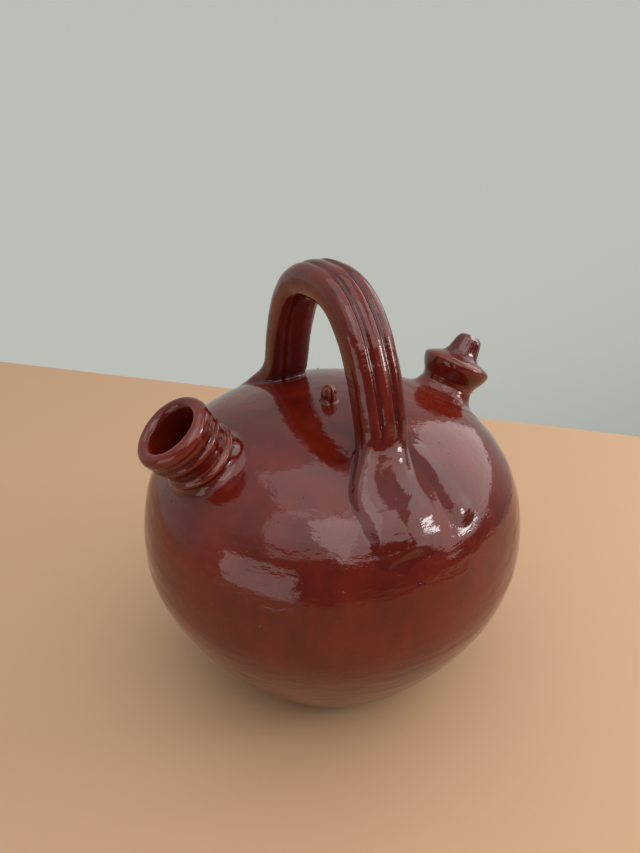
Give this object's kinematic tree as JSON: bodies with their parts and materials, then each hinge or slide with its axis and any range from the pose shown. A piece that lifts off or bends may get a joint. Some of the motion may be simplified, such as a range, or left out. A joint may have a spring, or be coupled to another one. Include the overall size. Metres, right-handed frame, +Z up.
{
  "type": "spanish botijo",
  "caption": "Spanish botijo: a closed, red-brown glazed earthenware water jug with a thick-lipped filling mouth, a saucer-flanged drinking spout and a ribbed overhead strap handle.",
  "frame": {"origin": "middle of the flat base, on the table", "axes": "+Z up, +X towards the drinking spout, -X towards the filling mouth; the handle stands in the YZ plane"},
  "size_m": [0.2221, 0.22, 0.25],
  "materials": {
    "body_glaze": "glossy",
    "neck_glaze": "glossy",
    "luting_glaze": "glossy",
    "handle_glaze": "glossy"
  },
  "bodies": {
    "root": {"body": "body_glaze", "filling_mouth": "neck_glaze", "mouth_luting_coil": "luting_glaze", "drinking_spout": "neck_glaze", "spout_luting_coil": "luting_glaze", "handle": "handle_glaze", "front_handle_foot": "handle_glaze", "back_handle_foot": "handle_glaze", "crown_knob": "body_glaze"}
  },
  "joints": []
}
